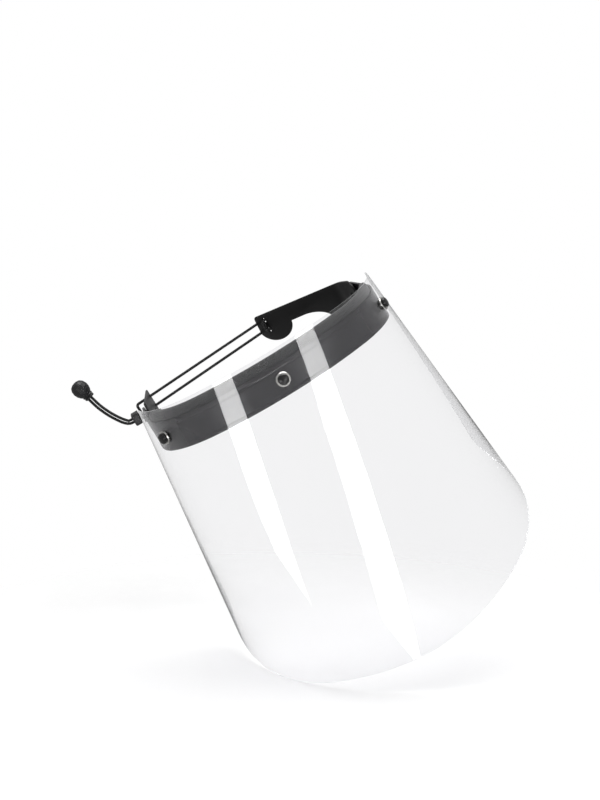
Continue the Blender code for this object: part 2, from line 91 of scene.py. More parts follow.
world = bpy.data.worlds.new("studio_air")
scene.world = world
world.use_nodes = True
air = world.node_tree.nodes["Background"]
rays = world.node_tree.nodes.new("ShaderNodeLightPath")
bounced = world.node_tree.nodes.new("ShaderNodeMapRange")
bounced.inputs["To Min"].default_value = 0.40
bounced.inputs["To Max"].default_value = 0.56
world.node_tree.links.new(rays.outputs["Is Diffuse Ray"], bounced.inputs["Value"])
dimmer = world.node_tree.nodes.new("ShaderNodeMapRange")
dimmer.inputs["To Min"].default_value = 1.0
world.node_tree.links.new(rays.outputs["Is Reflection Ray"], dimmer.inputs["Value"])
world.node_tree.links.new(bounced.outputs["Result"], dimmer.inputs["To Max"])
world.node_tree.links.new(dimmer.outputs["Result"], air.inputs["Strength"])
world.cycles.sampling_method = "NONE"
air.inputs["Color"].default_value = (1.0, 1.0, 1.0, 1.0)


def colour(hex_code):
    """An sRGB hex value turned to linear light."""
    parts = [int(hex_code[i:i + 2], 16) / 255 for i in (1, 3, 5)]
    return tuple(c / 12.92 if c <= 0.04045 else ((c + 0.055) / 1.055) ** 2.4 for c in parts) + (1.0,)


def add_node(mat, kind, settings=None, values=None, links=None):
    """One shader node: its own settings, the values of its sockets, and what feeds them."""
    node = mat.node_tree.nodes.new(kind)
    for name, setting in (settings or {}).items():
        setattr(node, name, setting)
    for socket, value in (values or {}).items():
        node.inputs[socket].default_value = value
    for socket, source in (links or {}).items():
        mat.node_tree.links.new(source, node.inputs[socket])
    return node


def empty_material(name):
    mat = bpy.data.materials.new(name)
    mat.use_nodes = True
    mat.node_tree.nodes.clear()
    return mat


def give_surface(mat, shader):
    add_node(mat, "ShaderNodeOutputMaterial", links={"Surface": shader})


# White laminate table: satin, with a faint sheen of reflection. It fades out at arm's length, and
# it is clear from below, so that the shield can be looked at from under it.
table_white = empty_material("white_laminate")
laminate = add_node(table_white, "ShaderNodeBsdfPrincipled",
                    values={"Base Color": colour("#FAFAFA"), "Roughness": 0.32,
                            "Specular IOR Level": 0.35})
see_through = add_node(table_white, "ShaderNodeBsdfTransparent")
side_seen = add_node(table_white, "ShaderNodeNewGeometry")
table_middle = floor_normal * floor_height
from_middle = add_node(table_white, "ShaderNodeVectorMath", settings={"operation": "DISTANCE"},
                       values={1: table_middle}, links={0: side_seen.outputs["Position"]})
fading_out = add_node(table_white, "ShaderNodeMapRange", settings={"interpolation_type": "SMOOTHSTEP"},
                      values={"From Min": 0.15, "From Max": 0.38},
                      links={"Value": from_middle.outputs["Value"]})
clear_part = add_node(table_white, "ShaderNodeMath", settings={"operation": "MAXIMUM"},
                      links={0: side_seen.outputs["Backfacing"], 1: fading_out.outputs["Result"]})
either = add_node(table_white, "ShaderNodeMixShader",
                  links={0: clear_part.outputs["Value"], 1: laminate.outputs[0],
                         2: see_through.outputs[0]})
give_surface(table_white, either.outputs[0])
bpy.ops.object.select_all(action="DESELECT")
bpy.ops.mesh.primitive_plane_add(size=1.4, location=(0, 0, 0))
table = bpy.context.object
table.name = "table_top"
table_turn = Matrix((camera_right, floor_normal.cross(camera_right).normalized(), floor_normal))
table.data.transform(Matrix.Translation(floor_normal * (floor_height - 0.0002))
                     @ table_turn.transposed().to_4x4())
table.data.materials.append(table_white)
table.visible_glossy = False
table.visible_shadow = False

# ------------------------------------------------------------------ elastic cord and its tail
# Round elastic, 2.2 mm: rubber threads in a braided black polyester sleeve. One length runs
# from the lock through the left arm, round and through the right arm and back to the lock;
# its two ends leave the lock side by side as the tail.
CORD_RADIUS = 0.0011
STRAND_SPREAD = 0.0013
LOCK_CENTRE = Vector((-0.0945, 0.2030, -0.0207))
LOCK_HALF_WIDTH = 0.0031

braided_sleeve = empty_material("braided_polyester_sleeve")
# matt black yarn: the crossing yarns make tiny diamonds, repeating every 0.7 mm along the cord
sleeve_uv = add_node(braided_sleeve, "ShaderNodeUVMap", settings={"uv_map": "sleeve"})
yarn_one = add_node(braided_sleeve, "ShaderNodeTexWave", settings={"bands_direction": "DIAGONAL"},
                    values={"Scale": 0.9, "Distortion": 0.0}, links={"Vector": sleeve_uv.outputs["UV"]})
mirrored = add_node(braided_sleeve, "ShaderNodeMapping", values={"Scale": (-1.0, 1.0, 1.0)},
                    links={"Vector": sleeve_uv.outputs["UV"]})
yarn_two = add_node(braided_sleeve, "ShaderNodeTexWave", settings={"bands_direction": "DIAGONAL"},
                    values={"Scale": 0.9, "Distortion": 0.0}, links={"Vector": mirrored.outputs["Vector"]})
crossing = add_node(braided_sleeve, "ShaderNodeMath", settings={"operation": "MAXIMUM"},
                    links={0: yarn_one.outputs["Fac"], 1: yarn_two.outputs["Fac"]})
yarn_shade = add_node(braided_sleeve, "ShaderNodeMixRGB",
                      values={1: colour("#050505"), 2: colour("#171718")},
                      links={0: crossing.outputs["Value"]})
yarn_bump = add_node(braided_sleeve, "ShaderNodeBump", values={"Strength": 0.8, "Distance": 0.0002},
                     links={"Height": crossing.outputs["Value"]})
sleeve_shader = add_node(braided_sleeve, "ShaderNodeBsdfPrincipled",
                         values={"Roughness": 0.72, "Sheen Weight": 0.06, "Sheen Roughness": 0.4},
                         links={"Base Color": yarn_shade.outputs[0], "Normal": yarn_bump.outputs["Normal"]})
give_surface(braided_sleeve, sleeve_shader.outputs[0])


def rounded_route(points, bend, steps):
    """The straight route through the points, each corner turned as an arc of radius bend."""
    route = [points[0]]
    for before, corner, after in zip(points, points[1:], points[2:]):
        to_before = before - corner
        to_after = after - corner
        half_turn = (math.pi - to_before.angle(to_after)) / 2
        tangent = min(bend * math.tan(half_turn), 0.48 * to_before.length, 0.48 * to_after.length)
        start = corner + to_before.normalized() * tangent
        end = corner + to_after.normalized() * tangent
        middle = (to_before.normalized() + to_after.normalized()).normalized()
        centre = corner + middle * (tangent / math.sin(half_turn))
        for i in range(steps + 1):
            turned = (start - centre).normalized().slerp((end - centre).normalized(), i / steps)
            route.append(centre + turned * (start - centre).length)
    route.append(points[-1])
    return route


def spaced_route(points, spacing):
    """A smooth curve through evenly placed points, read every spacing metres."""
    ends = [points[0] * 2 - points[1]] + points + [points[-1] * 2 - points[-2]]
    fine = []
    for p0, p1, p2, p3 in zip(ends, ends[1:], ends[2:], ends[3:]):
        for i in range(24):
            t = i / 24
            fine.append(0.5 * (2 * p1 + (p2 - p0) * t + (2 * p0 - 5 * p1 + 4 * p2 - p3) * t * t
                               + (3 * p1 - p0 - 3 * p2 + p3) * t ** 3))
    route = [fine[0]]
    walked = 0.0
    for a, b in zip(fine, fine[1:]):
        walked += (b - a).length
        if walked >= spacing:
            route.append(b)
            walked = 0.0
    route.append(points[-1])
    return route


def sleeve_tube(name, route, radius, sides=20):
    """A closed tube along the route, with a UV map in millimetres round and along it."""
    shape = bmesh.new()
    uv = shape.loops.layers.uv.new("sleeve")
    rings = []
    across = None
    walked = [0.0]
    for a, b in zip(route, route[1:]):
        walked.append(walked[-1] + (b - a).length)
    for i, point in enumerate(route):
        ahead = (route[min(i + 1, len(route) - 1)] - route[max(i - 1, 0)]).normalized()
        if across is None:
            across = ahead.orthogonal().normalized()
        across = (across - ahead * across.dot(ahead)).normalized()
        upward = ahead.cross(across)
        rings.append([shape.verts.new(point + (across * math.cos(math.tau * k / sides)
                                               + upward * math.sin(math.tau * k / sides)) * radius)
                      for k in range(sides)])
    for i in range(len(rings) - 1):
        for k in range(sides):
            after = (k + 1) % sides
            face = shape.faces.new((rings[i][k], rings[i][after], rings[i + 1][after], rings[i + 1][k]))
            face.smooth = True
            round_mm = math.tau * radius * 1000 / sides
            corners = ((k, i), (k + 1, i), (k + 1, i + 1), (k, i + 1))
            for loop, (step, ring) in zip(face.loops, corners):
                loop[uv].uv = (step * round_mm, walked[ring] * 1000)
    shape.faces.new(list(reversed(rings[0])))
    shape.faces.new(rings[-1])
    bmesh.ops.recalc_face_normals(shape, faces=shape.faces)
    mesh = bpy.data.meshes.new(name)
    shape.to_mesh(mesh)
    shape.free()
    obj = bpy.data.objects.new(name, mesh)
    scene.collection.objects.link(obj)
    mesh.materials.append(braided_sleeve)
    return obj


TAIL_MIDDLE = [Vector((0.0030, 0, 0)), Vector((-0.0056, 0, 0)), Vector((-0.0090, 0, 0.0024)),
               Vector((-0.0126, 0, 0.0076)), Vector((-0.0165, 0, 0.0150)),
               Vector((-0.0198, 0, 0.0237)), Vector((-0.0219, 0, 0.0325)),
               Vector((-0.0234, 0, 0.0384))]


def tail_route(level):
    """One strand of the tail: straight through the lock, then curling up to the bell."""
    places = []
    for i, place in enumerate(TAIL_MIDDLE):
        ahead = TAIL_MIDDLE[min(i + 1, len(TAIL_MIDDLE) - 1)] - TAIL_MIDDLE[max(i - 1, 0)]
        sideways = ahead.normalized().cross(Vector((0, -1, 0)))
        if i < 2:
            sideways = Vector((0, 0, 1))
        places.append(LOCK_CENTRE + place + sideways * (level * STRAND_SPREAD))
    return spaced_route(places, 0.0022)


for strand, level in (("a", 1), ("b", -1)):
    strand_route = tail_route(level)
    tail = sleeve_tube("tail_sleeve_" + strand, strand_route, CORD_RADIUS)
    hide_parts("tail_strand_" + strand)
    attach(tail, "harness")

# ------------------------------------------------------------------ side arms
# Two flat arms, moulded in black nylon 1.6 mm thick: a round nose on the rivet, an arched
# underside and a round rear lobe with two holes for the cord. The right one is bent inwards.
RIVET_Y = 0.0814
RIVET_Z = -0.0020
ARM_X = 0.07795
ARM_NOSE = 0.0118
ARM_LENGTH = 0.148
ARM_BEND_AT = 0.0255
ARM_BEND_RADIUS = 0.030
ARM_THICKNESS = 0.0016
ARM_YAW = {"left": math.radians(0.5), "right": math.radians(26.8)}
ARM_DROOP = {"left": math.radians(-7.4), "right": math.radians(-4.8)}
HOLE_STATION = 0.134
HOLE_HEIGHTS = (0.0066, -0.0019)
CORD_HOLE_RADIUS = 0.0022
PIN_HOLE_RADIUS = 0.0019
CORD_PULL = 0.0009

moulded_nylon = empty_material("moulded_nylon")
# near-black, satin, with the fine spark-eroded grain of its mould, drawn at 0.5 mm
nylon_place = add_node(moulded_nylon, "ShaderNodeTexCoord")
nylon_grain = add_node(moulded_nylon, "ShaderNodeTexNoise", values={"Scale": 2000.0, "Detail": 3.0},
                       links={"Vector": nylon_place.outputs["Object"]})
nylon_wear = add_node(moulded_nylon, "ShaderNodeTexNoise", values={"Scale": 60.0, "Detail": 4.0},
                      links={"Vector": nylon_place.outputs["Object"]})
nylon_shade = add_node(moulded_nylon, "ShaderNodeMixRGB",
                       values={1: colour("#060606"), 2: colour("#111112")},
                       links={0: nylon_wear.outputs["Fac"]})
nylon_gloss = add_node(moulded_nylon, "ShaderNodeMapRange", values={"To Min": 0.30, "To Max": 0.46},
                       links={"Value": nylon_wear.outputs["Fac"]})
nylon_bump = add_node(moulded_nylon, "ShaderNodeBump", values={"Strength": 0.25, "Distance": 0.0001},
                      links={"Height": nylon_grain.outputs["Fac"]})
nylon_shader = add_node(moulded_nylon, "ShaderNodeBsdfPrincipled",
                        values={"IOR": 1.53, "Specular IOR Level": 0.18},
                        links={"Base Color": nylon_shade.outputs[0],
                               "Roughness": nylon_gloss.outputs["Result"],
                               "Normal": nylon_bump.outputs["Normal"]})
give_surface(moulded_nylon, nylon_shader.outputs[0])


def arm_place(side, d, out, height):
    """A point of the hanging arm: d back from its nose, out from its wall, up its own face."""
    sign = -1 if side == "left" else 1
    yaw = ARM_YAW[side]
    bend = min(max(d - ARM_BEND_AT, 0.0) / ARM_BEND_RADIUS, yaw)
    past = max(d - ARM_BEND_AT - ARM_BEND_RADIUS * yaw, 0.0)
    inward = ARM_BEND_RADIUS * (1 - math.cos(bend)) + past * math.sin(bend)
    back = min(d, ARM_BEND_AT) + ARM_BEND_RADIUS * math.sin(bend) + past * math.cos(bend)
    point = Vector((sign * (ARM_X - inward), RIVET_Y - ARM_NOSE + back, RIVET_Z))
    outward = Vector((sign * math.cos(bend), math.sin(bend), 0.0))
    pivot = Vector((0, RIVET_Y, RIVET_Z))
    hang = (Matrix.Translation(pivot) @ Matrix.Rotation(ARM_DROOP[side], 4, "X")
            @ Matrix.Translation(-pivot))
    return hang @ (point + outward * out + Vector((0, 0, height)))


def held_half(level, height, run_height, out_of_arm, at_lock):
    """Corners of one run: lock, left arm's hole, round the right arm's end, right arm's hole."""
    left_hole = arm_place("left", HOLE_STATION, 0.0, height)
    right_end = arm_place("right", ARM_LENGTH + 0.0010, 0.0026, run_height)
    run = (left_hole - right_end).normalized()
    entry = LOCK_CENTRE + Vector((LOCK_HALF_WIDTH + 0.0005, 0, level * STRAND_SPREAD))
    return [entry,
            entry + Vector((at_lock, 0, 0)),
            left_hole + run * out_of_arm,
            right_end,
            arm_place("right", HOLE_STATION + CORD_PULL, 0.0025, height),
            arm_place("right", HOLE_STATION + CORD_PULL, -0.0025, height)]


def arc(centre, radii, start, end, steps):
    """Points of an elliptical arc, angles in degrees, both ends included."""
    angles = [math.radians(start + (end - start) * i / steps) for i in range(steps + 1)]
    return [(centre[0] + radii[0] * math.cos(a), centre[1] + radii[1] * math.sin(a)) for a in angles]


def arm_outline():
    nose = arc((ARM_NOSE, 0.0), (ARM_NOSE, ARM_NOSE), 90, 270, 40)
    arch = arc((0.084, -0.0118), (0.030, 0.0108), 170, 90, 24)
    lobe = arc((0.1255, 0.0004), (0.0225, 0.0130), 187, 345, 40)
    heel = arc((ARM_LENGTH - 0.0050, 0.0088), (0.0030, 0.0030), 0, 90, 10)
    return nose + [(0.044, -0.0118)] + arch + [(0.1010, -0.0014)] + lobe + heel


def apply_modifiers(obj):
    bpy.ops.object.select_all(action="DESELECT")
    obj.select_set(True)
    bpy.context.view_layer.objects.active = obj
    for modifier in list(obj.modifiers):
        bpy.ops.object.modifier_apply(modifier=modifier.name)


def drill(obj, centre, axis, radius, depth, sides=32):
    """A round hole bored through obj."""
    bpy.ops.object.select_all(action="DESELECT")
    bpy.ops.mesh.primitive_cylinder_add(vertices=sides, radius=radius, depth=depth)
    bit = bpy.context.object
    bit.data.transform(Matrix.Translation(centre)
                       @ Vector((0, 0, 1)).rotation_difference(axis).to_matrix().to_4x4())
    bore = obj.modifiers.new("bore", "BOOLEAN")
    bore.operation = "DIFFERENCE"
    bore.solver = "EXACT"
    bore.object = bit
    apply_modifiers(obj)
    bpy.data.objects.remove(bit, do_unlink=True)


def soften_edges(obj, width, segments=3):
    rounding = obj.modifiers.new("rounding", "BEVEL")
    rounding.width = width
    rounding.segments = segments
    rounding.limit_method = "ANGLE"
    rounding.angle_limit = math.radians(40)
    rounding.harden_normals = False
    apply_modifiers(obj)


def smooth_faces(obj, angle):
    bpy.ops.object.select_all(action="DESELECT")
    obj.select_set(True)
    bpy.context.view_layer.objects.active = obj
    bpy.ops.object.shade_smooth_by_angle(angle=math.radians(angle))


def side_arm(side):
    """The plate is cut to its outline flat, bent, thickened, edge-rounded and drilled."""
    bpy.ops.object.select_all(action="DESELECT")
    bpy.ops.mesh.primitive_circle_add(vertices=len(arm_outline()), radius=1.0, fill_type="NGON")
    arm = bpy.context.object
    arm.name = "side_arm_" + side
    for vert, (d, height) in zip(arm.data.vertices, arm_outline()):
        vert.co = Vector((d, 0.0, height))
    bpy.ops.object.mode_set(mode="EDIT")
    bend_end = ARM_BEND_AT + ARM_BEND_RADIUS * ARM_YAW[side]
    for i in range(11):
        bpy.ops.mesh.select_all(action="SELECT")
        bpy.ops.mesh.bisect(plane_co=(ARM_BEND_AT + (bend_end - ARM_BEND_AT) * i / 10, 0, 0),
                            plane_no=(1, 0, 0))
    bpy.ops.object.mode_set(mode="OBJECT")
    for vert in arm.data.vertices:
        vert.co = arm_place(side, vert.co.x, 0.0, vert.co.z)
    wall = arm.modifiers.new("wall", "SOLIDIFY")
    wall.thickness = ARM_THICKNESS
    wall.offset = 0.0
    apply_modifiers(arm)
    soften_edges(arm, 0.0004)
    for height in HOLE_HEIGHTS:
        hole = arm_place(side, HOLE_STATION, 0.0, height)
        drill(arm, hole, arm_place(side, HOLE_STATION, 1.0, height) - hole,
              CORD_HOLE_RADIUS, 0.004)
    pin = arm_place(side, ARM_NOSE, 0.0, 0.0)
    drill(arm, pin, Vector((1, 0, 0)), PIN_HOLE_RADIUS, 0.004)
    bpy.ops.object.mode_set(mode="EDIT")
    bpy.ops.mesh.select_all(action="SELECT")
    bpy.ops.mesh.normals_make_consistent(inside=False)
    bpy.ops.object.mode_set(mode="OBJECT")
    smooth_faces(arm, 30)
    arm.data.materials.clear()
    arm.data.materials.append(moulded_nylon)
    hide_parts("arm_" + side)
    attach(arm, "harness")


side_arm("left")
side_arm("right")

# The tight length between the arms, which the lock closes into a loop.
upper_run = held_half(1, HOLE_HEIGHTS[0], 0.0056, 0.0122, 0.0018)
lower_run = held_half(-1, HOLE_HEIGHTS[1], -0.0023, 0.0082, 0.0056)
held = sleeve_tube("elastic_sleeve", rounded_route(upper_run + lower_run[::-1], 0.0021, 8), CORD_RADIUS)
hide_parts("elastic_cord")
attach(held, "harness")

# ------------------------------------------------------------------ visor
# A sheet of clear PETG, 0.7 mm, die-cut flat to a straight top and a deep rounded chin and
# wrapped round the brow band. Its cut edge is slightly milky and painted paler as a painted highlight.
FRONT_RADIUS = 0.146
FRONT_TURN = math.radians(20.0)
SIDE_RADIUS = 0.052
FLARE = math.radians(8.1)
FRONT_Y = -0.0098
BROW_Z = 0.0014
FRONT_ARC = FRONT_RADIUS * FRONT_TURN
SIDE_ARC = SIDE_RADIUS * (math.pi / 2 - FRONT_TURN)
STUD_STATIONS = {"left": -0.084, "center": -0.0025, "right": 0.084}
STUD_DROP = 0.0026
SHEET_THICKNESS = 0.0007
VISOR_TOP = -0.0146
VISOR_WIDEST = 0.1317
VISOR_BOTTOM = 0.1856
VISOR_TOP_HALF = 0.110
VISOR_WIDENING = 0.11
VISOR_CHIN_POWER = 1.66
VISOR_HALF = VISOR_TOP_HALF + VISOR_WIDENING * (VISOR_WIDEST - VISOR_TOP)
EYELET_HOLE_RADIUS = 0.0027


def frame_at(s, straight_sides, fade_flare):
    """Brow point s metres round, the outward normal and the downward way of the leaning wall."""
    side = math.copysign(1.0, s)
    along = abs(s)
    turn = min(along, FRONT_ARC) / FRONT_RADIUS
    x = FRONT_RADIUS * math.sin(turn)
    y = FRONT_RADIUS * (1 - math.cos(turn))
    in_side = max(along - FRONT_ARC, 0.0)
    if straight_sides:
        in_side = min(in_side, SIDE_ARC)
    start = turn
    turn += in_side / SIDE_RADIUS
    x += SIDE_RADIUS * (math.sin(turn) - math.sin(start))
    y += SIDE_RADIUS * (math.cos(start) - math.cos(turn))
    if straight_sides:
        y += max(along - FRONT_ARC - SIDE_ARC, 0.0)
    lean = FLARE
    if fade_flare:
        fade = min(max((FRONT_ARC + SIDE_ARC - along) / 0.030, 0.0), 1.0)
        lean *= fade * fade * (3 - 2 * fade)
    level = Vector((side * math.sin(turn), -math.cos(turn), 0.0))
    outward = level * math.cos(lean) + Vector((0, 0, math.sin(lean)))
    down = level * math.sin(lean) - Vector((0, 0, math.cos(lean)))
    return Vector((side * x, FRONT_Y + y, BROW_Z)), outward, down


def formed_grid(name, columns, rows, place):
    """A flat grid formed to place(a, b), a and b from -1 to 1, facing outwards."""
    bpy.ops.object.select_all(action="DESELECT")
    bpy.ops.mesh.primitive_grid_add(x_subdivisions=columns, y_subdivisions=rows, size=2.0)
    obj = bpy.context.object
    obj.name = name
    for vert in obj.data.vertices:
        vert.co = place(vert.co.x, vert.co.y)
    bpy.ops.object.mode_set(mode="EDIT")
    bpy.ops.mesh.select_all(action="SELECT")
    bpy.ops.mesh.remove_doubles(threshold=0.00002)
    bpy.ops.object.mode_set(mode="OBJECT")
    middle = min(obj.data.polygons, key=lambda face: abs(face.center.x) + face.center.y)
    if middle.normal.y > 0:
        obj.data.flip_normals()
    return obj


def visor_place(a, b):
    s = VISOR_HALF * math.sin(a * math.pi / 2)
    top = VISOR_TOP + max(abs(s) - VISOR_TOP_HALF, 0.0) / VISOR_WIDENING
    fraction = min(abs(s / VISOR_HALF), 1.0)
    chin = (1 - fraction ** VISOR_CHIN_POWER) ** (1 / VISOR_CHIN_POWER)
    bottom = VISOR_WIDEST + (VISOR_BOTTOM - VISOR_WIDEST) * chin
    point, outward, down = frame_at(s, False, False)
    return point + down * (bottom + (top - bottom) * (b + 1) / 2)


clear_petg = empty_material("clear_petg_sheet")
# clear and hard-polished, a trace of grey in its depth; it lies very slightly uneven, as
# extruded sheet does, so long reflections waver, and it is scuffed very faintly in patches
sheet_place = add_node(clear_petg, "ShaderNodeTexCoord")
sheet_wave = add_node(clear_petg, "ShaderNodeTexNoise", values={"Scale": 9.0, "Detail": 1.0},
                      links={"Vector": sheet_place.outputs["Object"]})
sheet_bump = add_node(clear_petg, "ShaderNodeBump", values={"Strength": 0.15, "Distance": 0.004},
                      links={"Height": sheet_wave.outputs["Fac"]})
scuff_grid = add_node(clear_petg, "ShaderNodeTexNoise", values={"Scale": 45.0, "Detail": 6.0},
                      links={"Vector": sheet_place.outputs["Object"]})
scuffs = add_node(clear_petg, "ShaderNodeMapRange",
                  values={"From Min": 0.55, "From Max": 0.8, "To Min": 0.015, "To Max": 0.06},
                  links={"Value": scuff_grid.outputs["Fac"]})
sheet_tint = add_node(clear_petg, "ShaderNodeMixRGB",
                      values={1: colour("#F3F3F4"), 2: colour("#F6F6F7")},
                      links={0: sheet_wave.outputs["Fac"]})
sheet_shader = add_node(clear_petg, "ShaderNodeBsdfPrincipled",
                        values={"Transmission Weight": 1.0, "IOR": 1.47},
                        links={"Base Color": sheet_tint.outputs[0], "Roughness": scuffs.outputs["Result"],
                               "Normal": sheet_bump.outputs["Normal"]})
shadow_only = add_node(clear_petg, "ShaderNodeLightPath")
light_passes = add_node(clear_petg, "ShaderNodeBsdfTransparent", values={"Color": colour("#D4D4D6")})
sheet_mix = add_node(clear_petg, "ShaderNodeMixShader",
                     links={0: shadow_only.outputs["Is Shadow Ray"], 1: sheet_shader.outputs[0],
                            2: light_passes.outputs[0]})
give_surface(clear_petg, sheet_mix.outputs[0])

cut_edge = empty_material("die_cut_petg_edge")
# the die-cut edge: slightly milky in itself, painted pale grey to near-white as a painted highlight, finely
# mottled by the blade
edge_place = add_node(cut_edge, "ShaderNodeTexCoord")
edge_ridges = add_node(cut_edge, "ShaderNodeTexNoise", values={"Scale": 900.0, "Detail": 2.0},
                       links={"Vector": edge_place.outputs["Object"]})
# painted highlight: the edge's near-white colour stands in partly for the light it catches
edge_milk_and_highlight = add_node(cut_edge, "ShaderNodeMixRGB",
                      values={1: colour("#E4E6E8"), 2: colour("#FBFBFB")},
                      links={0: edge_ridges.outputs["Fac"]})
edge_shader = add_node(cut_edge, "ShaderNodeBsdfPrincipled",
                       values={"Transmission Weight": 0.55, "Roughness": 0.35, "IOR": 1.57},
                       links={"Base Color": edge_milk_and_highlight.outputs[0]})
give_surface(cut_edge, edge_shader.outputs[0])

visor = formed_grid("visor_sheet", 180, 90, visor_place)
visor.data.materials.append(clear_petg)
visor.data.materials.append(cut_edge)
sheet_wall = visor.modifiers.new("sheet", "SOLIDIFY")
sheet_wall.thickness = SHEET_THICKNESS
sheet_wall.offset = -1.0
sheet_wall.material_offset_rim = 1
apply_modifiers(visor)
for station in STUD_STATIONS.values():
    stud_point, stud_outward, stud_down = frame_at(station, False, False)
    drill(visor, stud_point + stud_down * STUD_DROP, stud_outward, EYELET_HOLE_RADIUS, 0.003)
smooth_faces(visor, 35)
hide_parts("visor")
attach(visor, "root")

# ------------------------------------------------------------------ brow band
# A stiff strip of glossy charcoal polypropylene, 1.8 mm, bent round the forehead with straight
# sides. A raised lip runs along its lower edge and a shallow groove below its upper edge.
BAND_THICKNESS = 0.0018
BAND_DEPTH = 0.0028
BAND_TOP = -0.0063
BAND_BOTTOM = 0.0122
BAND_CORNER = 0.006
BAND_STRAIGHT = 0.0415
BAND_HALF = FRONT_ARC + SIDE_ARC + BAND_STRAIGHT
BAND_SIDE_X = 0.08415
LIP_HEIGHT = 0.00035


def pulled_in(distance_to_end, corner):
    reach = max(corner - distance_to_end, 0.0)
    return corner - math.sqrt(max(corner * corner - reach * reach, 0.0))


def band_place(a, b):
    s = BAND_HALF * a
    if abs(a) > 0.9:
        s = math.copysign(BAND_HALF * (0.9 + 0.1 * math.sin((abs(a) - 0.9) * 5 * math.pi)), a)
    pull = pulled_in(BAND_HALF - abs(s), BAND_CORNER)
    v = BAND_BOTTOM - pull + (BAND_TOP - BAND_BOTTOM + 2 * pull) * (b + 1) / 2
    inside_end = min(max((BAND_HALF - abs(s) - 0.004) / 0.002, 0.0), 1.0)
    lip = LIP_HEIGHT * inside_end * min(max((v - BAND_BOTTOM + 0.0021) / 0.0005, 0.0), 1.0)
    from_groove = abs(v - BAND_TOP - 0.0030) / 0.0005
    groove = 0.0003 * inside_end * max(1.0 - from_groove, 0.0)
    point, outward, down = frame_at(s, True, True)
    return point + down * v - outward * (BAND_DEPTH + groove + LIP_HEIGHT - lip)


glossy_band = empty_material("glossy_charcoal_polypropylene")
# polished mould face: dark charcoal, glossy, with a soft orange-peel ripple about 5 mm across
band_where = add_node(glossy_band, "ShaderNodeTexCoord")
band_peel = add_node(glossy_band, "ShaderNodeTexNoise", values={"Scale": 190.0, "Detail": 1.0},
                     links={"Vector": band_where.outputs["Object"]})
band_flow = add_node(glossy_band, "ShaderNodeTexNoise", values={"Scale": 26.0, "Detail": 3.0},
                     links={"Vector": band_where.outputs["Object"]})
band_shade = add_node(glossy_band, "ShaderNodeMixRGB",
                      values={1: colour("#121114"), 2: colour("#1C1A1F")},
                      links={0: band_flow.outputs["Fac"]})
band_gloss = add_node(glossy_band, "ShaderNodeMapRange", values={"To Min": 0.10, "To Max": 0.22},
                      links={"Value": band_flow.outputs["Fac"]})
band_bump = add_node(glossy_band, "ShaderNodeBump", values={"Strength": 0.05, "Distance": 0.0002},
                     links={"Height": band_peel.outputs["Fac"]})
band_shader = add_node(glossy_band, "ShaderNodeBsdfPrincipled",
                       values={"IOR": 1.49, "Specular IOR Level": 0.26},
                       links={"Base Color": band_shade.outputs[0],
                              "Roughness": band_gloss.outputs["Result"],
                              "Normal": band_bump.outputs["Normal"]})
give_surface(glossy_band, band_shader.outputs[0])

band = formed_grid("brow_band_strip", 200, 46, band_place)
band_wall = band.modifiers.new("wall", "SOLIDIFY")
band_wall.thickness = BAND_THICKNESS - LIP_HEIGHT
band_wall.offset = -1.0
apply_modifiers(band)
soften_edges(band, 0.0003, 2)
for sign in (-1, 1):
    drill(band, Vector((sign * (BAND_SIDE_X - BAND_DEPTH - BAND_THICKNESS / 2), RIVET_Y, RIVET_Z)),
          Vector((1, 0, 0)), 0.0021, 0.006)
for station in STUD_STATIONS.values():
    stud_point, stud_outward, stud_down = frame_at(station, True, True)
    drill(band, stud_point + stud_down * STUD_DROP - stud_outward * 0.0037, stud_outward, 0.0018, 0.005)
smooth_faces(band, 35)
band.data.materials.clear()
band.data.materials.append(glossy_band)
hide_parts("brow_band")
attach(band, "root")

# ------------------------------------------------------------------ sweatband
# A strip of soft foam in a black knitted cover, 5 mm thick, held to the inside of the band by
# the heads of the studs. Its inner face is crowned and its cover is stitched near both edges.
PAD_THICKNESS = 0.005
PAD_TOP = -0.0122
PAD_BOTTOM = 0.0092
PAD_HALF = 0.106
PAD_CORNER = 0.008
PAD_DEPTH = BAND_DEPTH + BAND_THICKNESS + 0.0003
PAD_END_ROUNDING = 0.003
PAD_GIRTH_MM = 52.0

knit_cover = empty_material("black_knit_cover")
# soft matt black with a light sheen: rows of knitted loops, drawn coarse at about 1 mm so
# that they show, and paler lint in patches
knit_uv = add_node(knit_cover, "ShaderNodeUVMap", settings={"uv_map": "knit"})
knit_wales = add_node(knit_cover, "ShaderNodeTexWave", settings={"bands_direction": "X"},
                      values={"Scale": 0.26, "Distortion": 1.2, "Detail": 1.0, "Detail Scale": 2.0},
                      links={"Vector": knit_uv.outputs["UV"]})
knit_courses = add_node(knit_cover, "ShaderNodeTexWave", settings={"bands_direction": "Y"},
                        values={"Scale": 0.36, "Distortion": 1.2, "Detail": 1.0, "Detail Scale": 2.0},
                        links={"Vector": knit_uv.outputs["UV"]})
knit_loops = add_node(knit_cover, "ShaderNodeMath", settings={"operation": "MULTIPLY"},
                      links={0: knit_wales.outputs["Fac"], 1: knit_courses.outputs["Fac"]})
knit_lint = add_node(knit_cover, "ShaderNodeTexNoise", values={"Scale": 0.35, "Detail": 4.0},
                     links={"Vector": knit_uv.outputs["UV"]})
knit_depth = add_node(knit_cover, "ShaderNodeMixRGB", values={1: colour("#080809"), 2: colour("#1F1F21")},
                      links={0: knit_loops.outputs["Value"]})
knit_shade = add_node(knit_cover, "ShaderNodeMixRGB", values={2: colour("#242426")},
                      links={0: knit_lint.outputs["Fac"], 1: knit_depth.outputs[0]})
knit_bump = add_node(knit_cover, "ShaderNodeBump", values={"Strength": 0.7, "Distance": 0.0003},
                     links={"Height": knit_loops.outputs["Value"]})
